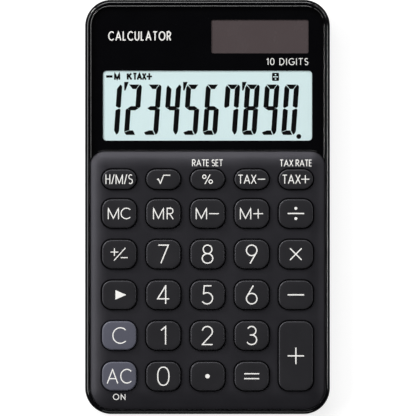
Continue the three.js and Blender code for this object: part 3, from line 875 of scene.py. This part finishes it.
def keypad_panel():
    low = heights_of("window_mask")[0]
    foot = heights_of("keypad_panel")[0]
    caps = [key_rect(name) for name in KEYS]
    form = Form()
    panel_top(form, KEY_GAP + HOLE_LIP, caps)

    def is_outer(x, y):
        return depth_inside(PANEL, x, y) < EDGE_SOFT + 0.01

    def nearest_cap(x, y):
        return max(caps, key=lambda cap: depth_inside(cap, x, y))

    def surface(x, y):
        """The height of the upper face at the edge that a wall goes down from."""
        if is_outer(x, y):
            return panel_height(EDGE_SOFT)
        start = moved_to(nearest_cap(x, y), x, y, -KEY_GAP - HOLE_LIP)
        return panel_height(depth_inside(PANEL, *start))

    steps = 5
    for i in range(1, steps + 1):
        angle = math.pi / 2 * i / steps
        across, drop = math.sin(angle), 1 - math.cos(angle)

        def rounded(co):
            top = surface(co.x, co.y)
            if is_outer(co.x, co.y):
                place = moved_to(PANEL, co.x, co.y, EDGE_SOFT * (1 - across))
                return (*place, top - EDGE_SOFT * drop)
            place = moved_to(nearest_cap(co.x, co.y), co.x, co.y, -KEY_GAP - HOLE_LIP * (1 - across))
            return (*place, top - HOLE_LIP * drop)

        lowered(form, rim_edges(form), rounded)
    lowered(form, rim_edges(form), lambda co: (co.x, co.y, low))

    for node in BOARD_SCREWS:
        place = centre_of(node)
        wide, narrow = circle(*place, POST_RADIUS), circle(*place, SCREW_BORE)
        tip = form.stack([(wide, low), (wide, foot), (narrow, foot), (narrow, POST_BORE_TOP)])[1]
        form.mesh.faces.new(tip)
    bmesh.ops.triangle_fill(form.mesh, use_beauty=True, edges=rim_edges(form))
    piece = ordered(form).make("keypad_panel_cover")
    fit(piece, CASE, "panel_matte_grey", ["keypad_panel"])


LABELS = {
    "label_rate_set": (text("RATE SET", 8.8, 1.95, 0.21), "percent", 4.68),
    "label_tax_rate": (text("TAX RATE", 9.2, 1.95, 0.21), "tax_plus", 4.63),
    "label_on": (text("ON", 3.6, 1.8, 0.24, gap=0.42), "ac", -5.95),
}


def panel_labels():
    """Words printed beside keys, laid over the panel's sloping border."""
    for name, (shapes, key, offset) in LABELS.items():
        piece = drawn(name, shapes, 0, PRINT)
        x, y = centre_of(f"key_{key}")
        shifted(piece, x, y + offset)
        for vertex in piece.data.vertices:
            depth = depth_inside(PANEL, vertex.co.x / MM, vertex.co.y / MM)
            vertex.co.z += panel_height(depth) * MM
        fit(piece, CASE, "legend_ink")


def window_print():
    """Plain words just over the mask, under the window plate."""
    height = heights_of("window_mask")[1] + 0.005
    solar_right = node_box("solar_cell")[1].x
    words = {
        "print_calculator": text("CALCULATOR", 18.0, 2.7, 0.34, (-19.4, 48.9), 0.42),
        "print_digits": text("10 DIGITS", 12.0, 2.0, 0.22, (solar_right - 6.6, 41.55), 0.42),
    }
    for name, shapes in words.items():
        fit(drawn(name, shapes, height, height + 0.02), CASE, "legend_ink")


keypad_panel()
panel_labels()
window_print()


# ---------- keys ----------
DIGIT = 5.5                 # height of a number
THIN = 0.335                # stroke widths
FINE = 0.265
CROWN_WIDTH = 1.1           # how far in from its edge a key's top rises
KEY_SOFT = 0.06


def digit(character):
    """A number on a key, with the proportions of its glyph."""
    return text(character, GLYPHS[character][0] * (DIGIT - THIN) + THIN, DIGIT, THIN)


def divide_sign():
    return [bar(0, 0, 4.7, 0.35), dot(0, 1.46, 0.42), dot(0, -1.46, 0.42)]


def times_sign():
    reach = 1.65
    return [Stroke([(-reach, way * -reach), (reach, way * reach)], THIN) for way in (1, -1)]


def plus_sign(size=4.7, stroke=0.35):
    return [bar(0, 0, size, stroke), upright(0, 0, size, stroke)]


def plus_minus_sign():
    return [
        bar(-1.35, 0.6, 2.2, FINE), upright(-1.35, 0.6, 2.2, FINE),
        Stroke([(-1.45, -1.8), (1.8, 1.8)], FINE), bar(1.45, -1.0, 2.0, FINE),
    ]


def tax_word():
    return text("TAX", 5.3, 2.6, 0.255, (-1.25, 0))


def root_sign():
    return [Stroke([(-1.75, -0.13), (-1.45, 0.1), (-0.85, -1.22), (0.1, 1.13), (2.0, 1.13)], FINE)]


def percent_sign():
    return [
        Stroke(oval(-0.92, 0.7, 0.48, 0.5), FINE), Stroke(oval(0.92, -0.7, 0.48, 0.5), FINE),
        Stroke([(-0.72, -1.35), (0.72, 1.35)], FINE),
    ]


LEGENDS = {
    "hms": text("H/M/S", 7.8, 2.8, 0.25, gap=0.28),
    "root": root_sign(),
    "percent": percent_sign(),
    "tax_minus": [*tax_word(), bar(2.8, 0, 2.1, 0.255)],
    "tax_plus": [*tax_word(), bar(2.7, 0, 2.3, 0.255), upright(2.7, 0, 2.3, 0.255)],
    "mc": text("MC", 6.5, 3.3, 0.28),
    "mr": text("MR", 5.9, 3.3, 0.28, gap=0.36),
    "m_minus": text("M-", 6.75, 3.3, 0.28),
    "m_plus": text("M+", 6.75, 3.3, 0.28),
    "divide": divide_sign(),
    "sign": plus_minus_sign(),
    "multiply": times_sign(),
    "delete_digit": [Area([(-1.05, -1.35), (2.05, 0), (-1.05, 1.35)])],
    "minus": [bar(0, 0, 4.7, 0.38)],
    "c": text("C", 3.9, 4.75, 0.31),
    "ac": text("AC", 7.1, 4.2, 0.31),
    "point": [dot(0, 0, 0.63)],
    "equals": [bar(0, 0.7, 4.3, THIN), bar(0, -0.7, 4.3, THIN)],
    "plus": plus_sign(),
    **{character: digit(character) for character in "0123456789"},
}


def key_rings(low, high):
    """(inset, height) pairs up a key, from under its flange to the flat of its top."""
    top = high - KEY_TOP_DROP
    edge = top - KEY_CROWN
    rings = [
        (-FLANGE_WIDTH + KEY_SOFT, low),
        (-FLANGE_WIDTH, low + KEY_SOFT),
        (-FLANGE_WIDTH, FLANGE_TOP - KEY_SOFT),
        (-FLANGE_WIDTH + KEY_SOFT, FLANGE_TOP),
        (0, FLANGE_TOP),
    ]
    rings += [(inset + 0.02, edge - drop) for inset, drop in quarter_round(KEY_ROUND, KEY_ROUND, 7)]
    for share in (0.15, 0.35, 0.6, 0.8, 1.0):
        rings.append((KEY_ROUND + 0.02 + CROWN_WIDTH * share, top - KEY_CROWN * (1 - share) ** 2))
    return rings


def keys():
    for name in KEYS:
        node, cap = f"key_{name}", key_rect(name)
        low, high = heights_of(node)
        form = Form().solid([(outline(cap, inset), z) for inset, z in key_rings(low, high)])
        look = "key_blue_grey" if name in ("c", "ac") else "key_dark_grey"
        fit(form.make(f"keycap_{name}"), node, look, [node])
        top = high - KEY_TOP_DROP
        legend = drawn(f"legend_{name}", LEGENDS[name], top - SUNK, top + PRINT)
        shifted(legend, *centre_of(node))
        fit(legend, node, "legend_ink")


keys()


# ---------- display ----------
DIGIT_WIDTH, DIGIT_HEIGHT, DIGIT_MIDDLE, DIGIT_PITCH = 4.15, 14.4, 7.62, 5.62
UPRIGHT_WIDTH, TOP_WIDTH = 1.43, 1.28
SLANT = 0.071
SEGMENT_GAP = 0.06
DIGITS_BASE = 20.6
LAST_DIGIT_RIGHT = 25.2
POINT_PLACE, POINT_RADIUS = (26.1, 20.15), 0.7
MARK_HIGH, MARK_LOW = 35.75, 33.25
MARK_GAP = 1.55             # from a digit's right side to the thousands mark after it
INDICATOR_LINE = 37.3
DIVIDE_PLACE, DIVIDE_HALF = (19.45, 37.2), (1.0, 1.15)
LEDGE = 3.1                 # how far the front glass stands past the rear glass, for its contacts
REAR_GLASS = 0.58
SHOWN = "1234567890"
SEGMENTS_OF = {
    "0": "abcdef", "1": "bc", "2": "abged", "3": "abgcd", "4": "fgbc", "5": "afgcd",
    "6": "afgedc", "7": "fabc", "8": "abcdefg", "9": "abcdfg",
}


def segment_shapes():
    """The seven segments of an upright digit, each as its outline."""
    w, h, m, t, b = DIGIT_WIDTH, DIGIT_HEIGHT, DIGIT_MIDDLE, UPRIGHT_WIDTH, TOP_WIDTH
    gap = SEGMENT_GAP
    waist = 0.6
    return {
        "a": [(0.47, h), (w - 0.75, h), (w - t - 0.1 - gap, h - b), (t + 0.1 + gap, h - b)],
        "b": [(w - 0.62, h - gap), (w - 0.3, h - 0.15), (w, h - 0.62), (w, m + 0.42),
              (w - 0.42, m + gap), (w - t, m + 0.5 + gap), (w - t, h - b)],
        "f": [(0.36, h - gap - 0.15), (0, h - 0.9), (0, m + 0.42), (0.42, m + gap),
              (t, m + 0.5 + gap), (t, h - b)],
        "c": [(w - 0.42, m - gap), (w, m - 0.42), (w, 1.2), (w - 0.25, 0.45), (w - 0.72, 0.06),
              (w - t, b), (w - t, m - 0.5 - gap)],
        "e": [(0.42, m - gap), (0, m - 0.42), (0, 0.85), (t, b + 0.08), (t, m - 0.5 - gap)],
        "d": [(t + 0.05, b), (0.08, 0.74), (0.2, 0.5), (0.62, 0), (w - 0.98, 0), (w - t - 0.2, b)],
        "g": [(0.5, m), (t - 0.02, m + waist), (w - t + 0.02, m + waist), (w - 0.5, m),
              (w - t + 0.02, m - waist), (t - 0.02, m - waist)],
    }


def slanted(points, x):
    return [(x + px + SLANT * py, DIGITS_BASE + py) for px, py in points]


def thousands_mark(x):
    """A wedge with an upright left side that narrows downwards."""
    high, low = MARK_HIGH, MARK_LOW
    return Area([(x, high), (x, low + 0.2), (x + 0.12, low), (x + 0.4, low + 0.1), (x + 1.28, high)])


def display():
    glass = rect_of("lcd_glass", 0.3)
    low, high = heights_of("lcd_glass")
    rear_top = low + REAR_GLASS
    rear = Rect(glass.x0, glass.y0 + LEDGE, glass.x1, glass.y1, 0.3, 0.3)
    rings = [(outline(rear), low), (outline(rear), rear_top), (outline(glass), rear_top),
             (outline(glass), high - 0.06), (outline(glass, 0.06), high), (outline(glass, 0.3), high)]
    fit(Form().solid(rings).make("lcd_cell"), CASE, "lcd_film", ["lcd_glass"])

    segments = segment_shapes()
    shapes = [dot(*POINT_PLACE, POINT_RADIUS)]
    for i, character in enumerate(SHOWN):
        left = len(SHOWN) - 1 - i
        x = LAST_DIGIT_RIGHT - DIGIT_WIDTH - DIGIT_PITCH * left
        shapes += [Area(slanted(segments[segment], x)) for segment in SEGMENTS_OF[character]]
        if left and left % 3 == 0:
            shapes.append(thousands_mark(x + DIGIT_WIDTH + MARK_GAP))
    fit(drawn("lcd_digits", shapes, high - SUNK, high + PRINT), CASE, "lcd_dark")

    line = INDICATOR_LINE
    signs = [
        bar(-28.07, line, 1.8, 0.66),
        *text("M", 1.75, 2.15, 0.47, (-25.85, line)),
        *text("K", 1.6, 2.15, 0.54, (-22.3, line)),
        *text("TAX", 4.0, 2.15, 0.48, (-19.4, line)),
        bar(-16.65, line, 1.55, 0.5),
        upright(-16.65, line, 1.9, 0.5),
    ]
    fit(drawn("lcd_indicators", signs, high - SUNK, high + PRINT), CASE, "lcd_dark")
    x, y = DIVIDE_PLACE
    across, up = DIVIDE_HALF
    frame_rect = Rect(x - across, y - up, x + across, y + up, 0.3, 0.3)
    box = Form().slab([outline(frame_rect, 0, 5)], high - SUNK, high + PRINT)
    fit(box.make("lcd_divide_box"), CASE, "lcd_dark")
    inside = [bar(x, y, 1.45, 0.28), dot(x, y + 0.62, 0.21), dot(x, y - 0.62, 0.21)]
    fit(drawn("lcd_divide_sign", inside, high + PRINT / 2, high + 2 * PRINT), CASE, "lcd_film")


def solar_cell():
    rect = rect_of("solar_cell", 0.3)
    low, high = heights_of("solar_cell")
    rings = [(0, low), (0, high - 0.06), (0.06, high), (0.3, high)]
    form = Form().solid([(outline(rect, inset, 4), z) for inset, z in rings])
    fit(form.make("solar_cell_glass"), CASE, "solar_glass", ["solar_cell"])


display()
solar_cell()


# ---------- rubber keypad ----------
SHEET_CORNER = 3.0
DOME_FOOT, DOME_HEAD, DOME_SHOULDER, DOME_TOP = 2.3, 1.5, 4.5, 4.9
SHEET_THICKNESS = 0.5


def membrane_sheet(low, high):
    rect = rect_of("keypad_membrane", SHEET_CORNER)
    form = Form()
    rings = [(0.05, low), (0, low + 0.05), (0, high - 0.1), (0.1, high), (0.3, high)]
    under, over = form.stack([(outline(rect, inset), z) for inset, z in rings])
    bores = []
    for node in BOARD_SCREWS:
        bores.append(form.stack([(circle(*centre_of(node), SCREW_BORE), z) for z in (low, high)]))
    form.fill(under, *[bore[0] for bore in bores])
    form.fill(over, *[bore[1] for bore in bores])
    sheet = form.make("membrane_sheet")
    bosses = [node for node in CASE_SCREWS if abs(centre_of(node)[1]) < rect.y1 - rect.y0]
    for node in bosses:
        combined(sheet, posts([node], REAR_BOSS_RADIUS + 0.3, low - 1, high + 1, "room"), "DIFFERENCE")
    fit(sheet, CASE, "silicone_rubber", ["keypad_membrane"])


def membrane_dome(name, x, y, sheet_top):
    """A solid rubber dome with a shallow dish in its top."""
    foot, head, shoulder, top = DOME_FOOT, DOME_HEAD, DOME_SHOULDER, DOME_TOP
    profile = [
        (0, sheet_top + 0.01), (foot, sheet_top + 0.01), (foot - 0.12, sheet_top + 0.12),
        (head + 0.12, shoulder - 0.06), (head, shoulder + 0.06), (head, top - 0.08),
        (head - 0.08, top), (0.5, top), (0.4, top - 0.12), (0, top - 0.12),
    ]
    dome = fit(Form().turned(profile, x, y).make(name), CASE, "silicone_rubber")
    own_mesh(dome)


def membrane():
    low = heights_of("keypad_membrane")[0]
    sheet_top = low + SHEET_THICKNESS
    membrane_sheet(low, sheet_top)
    for key in KEYS:
        x, y = centre_of(f"key_{key}")
        bottom, top = node_box(f"key_{key}")
        tall = top.y - bottom.y > 1.5 * (top.x - bottom.x)
        spots = {"_lower": -ROW_PITCH / 2, "_upper": ROW_PITCH / 2} if tall else {"": 0}
        for suffix, offset in spots.items():
            membrane_dome(f"dome_{key}{suffix}", x, y + offset, sheet_top)


membrane()


# ---------- screws ----------
THREAD_RADIUS, THREAD_CORE, THREAD_PITCH = 0.6, 0.45, 0.4
CASE_HEAD_RADIUS, CASE_HEAD_TOP = 1.45, 0.85
BOARD_HEAD_RADIUS, BOARD_HEAD_TOP = 1.3, 2.15


def screw(name, node, head_radius, head_top):
    """A self-tapping screw with its head down: a domed head with a cross recess, and a thread."""
    x, y = centre_of(node)
    low, tip = heights_of(node)
    radius, core, pitch = THREAD_RADIUS, THREAD_CORE, THREAD_PITCH
    profile = [(0, low), (head_radius * 0.5, low + 0.03), (head_radius * 0.85, low + 0.12),
               (head_radius, low + 0.28), (head_radius, head_top - 0.05), (head_radius - 0.05, head_top),
               (radius, head_top)]
    height = head_top + 0.15
    while height < tip - 0.7:
        profile += [(core, height), (radius, height + pitch / 2)]
        height += pitch
    profile += [(core, height), (0.1, tip), (0, tip)]
    piece = Form().turned(profile, x, y, 32).make(name)
    reach, half, depth = head_radius * 0.6, 0.14, 0.3
    for across, along in ((reach, half), (half, reach)):
        cross = [(x + u * across, y + v * along) for u, v in ((-1, -1), (1, -1), (1, 1), (-1, 1))]
        combined(piece, [Form().prism(cross, low - 1, low + depth).make("cross")], "DIFFERENCE")
    fit(piece, CASE, "screw_steel", [node])


for node in CASE_SCREWS:
    name = node.replace("case_screw", "case_screw_fine")
    screw(name, node, CASE_HEAD_RADIUS, CASE_HEAD_TOP)
for node in BOARD_SCREWS:
    name = node.replace("board_screw", "board_screw_fine")
    screw(name, node, BOARD_HEAD_RADIUS, BOARD_HEAD_TOP)


# ---------- CAD nodes that stay ----------
KEPT_LOOKS = {
    "lcd_reflector": "lcd_film",
    "lcd_support_frame": "white_plastic",
    "connector_strip": "elastomer",
    "solar_lead_plus": "lead_red",
    "solar_lead_minus": "lead_black",
    "circuit_board": "board_green",
    "logic_chip": "epoxy_black",
    "supply_capacitor": "component_tan",
    "blocking_diode": "epoxy_black",
    "battery_cell": "cell_steel",
    "battery_contact_minus": "spring_steel",
    "battery_contact_plus": "spring_steel",
}
for node, look in KEPT_LOOKS.items():
    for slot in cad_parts[node].material_slots:
        slot.material = LOOKS[look]


# ---------- light and floor ----------
FLOOR_REACH, FLOOR_HEIGHT = 4000, -0.02
FLOOR_GLOW = 0.76


def softbox(name, azimuth, elevation, width, height, radiance, distance=1.3):
    """A rectangular lamp that faces the calculator; azimuth 0 is +X and 90 is +Y."""
    data = bpy.data.lights.new(name, "AREA")
    data.shape = "RECTANGLE"
    data.size, data.size_y = width, height
    data.energy = radiance * math.pi * width * height
    lamp = bpy.data.objects.new(name, data)
    a, e = math.radians(azimuth), math.radians(elevation)
    away = Vector((math.cos(a) * math.cos(e), math.sin(a) * math.cos(e), math.sin(e)))
    lamp.location = away * distance
    lamp.rotation_euler = away.to_track_quat("Z", "Y").to_euler()
    bpy.context.scene.collection.objects.link(lamp)


def floor():
    """A lit table: it glows, so that the calculator hardly shades it, and the gloss doesn't show it."""
    form = Form()
    reach = FLOOR_REACH
    corners = [(-reach, -reach), (reach, -reach), (reach, reach), (-reach, reach)]
    form.mesh.faces.new(form.loop(corners, FLOOR_HEIGHT))
    piece = form.make("floor")
    piece.visible_glossy = False
    material, tree, place = blank_material("floor")
    patches = between(tree, noise(tree, place, 300.0), 0, 1)
    tone = tinted(tree, patches, (0.38, 0.38, 0.38), (0.40, 0.40, 0.40))
    shader = put(tree, "ShaderNodeBsdfPrincipled", {
        "Base Color": tone, "Roughness": 0.9, "Emission Color": (1, 1, 1, 1),
        "Emission Strength": FLOOR_GLOW,
    })
    piece.data.materials.append(surfaced(material, tree, shader))


def studio():
    scene = bpy.context.scene
    scene.view_settings.view_transform = "Standard"
    world = bpy.data.worlds.new("studio")
    world.use_nodes = True
    world.node_tree.nodes["Background"].inputs["Color"].default_value = (0.01, 0.01, 0.01, 1)
    scene.world = world
    softbox("left_box", 172, 37, 1.0, 0.5, 6.5)
    softbox("top_box", 98, 39, 1.0, 0.5, 6.4)
    softbox("key_light", 138, 20, 0.3, 0.2, 48.0)
    softbox("low_box", -90, 18, 1.0, 0.4, 1.6)
    softbox("right_strip", 0, 33, 0.2, 0.12, 29.0)
    softbox("corner_strip", 42, 30, 0.8, 0.08, 16.0)


floor()
studio()
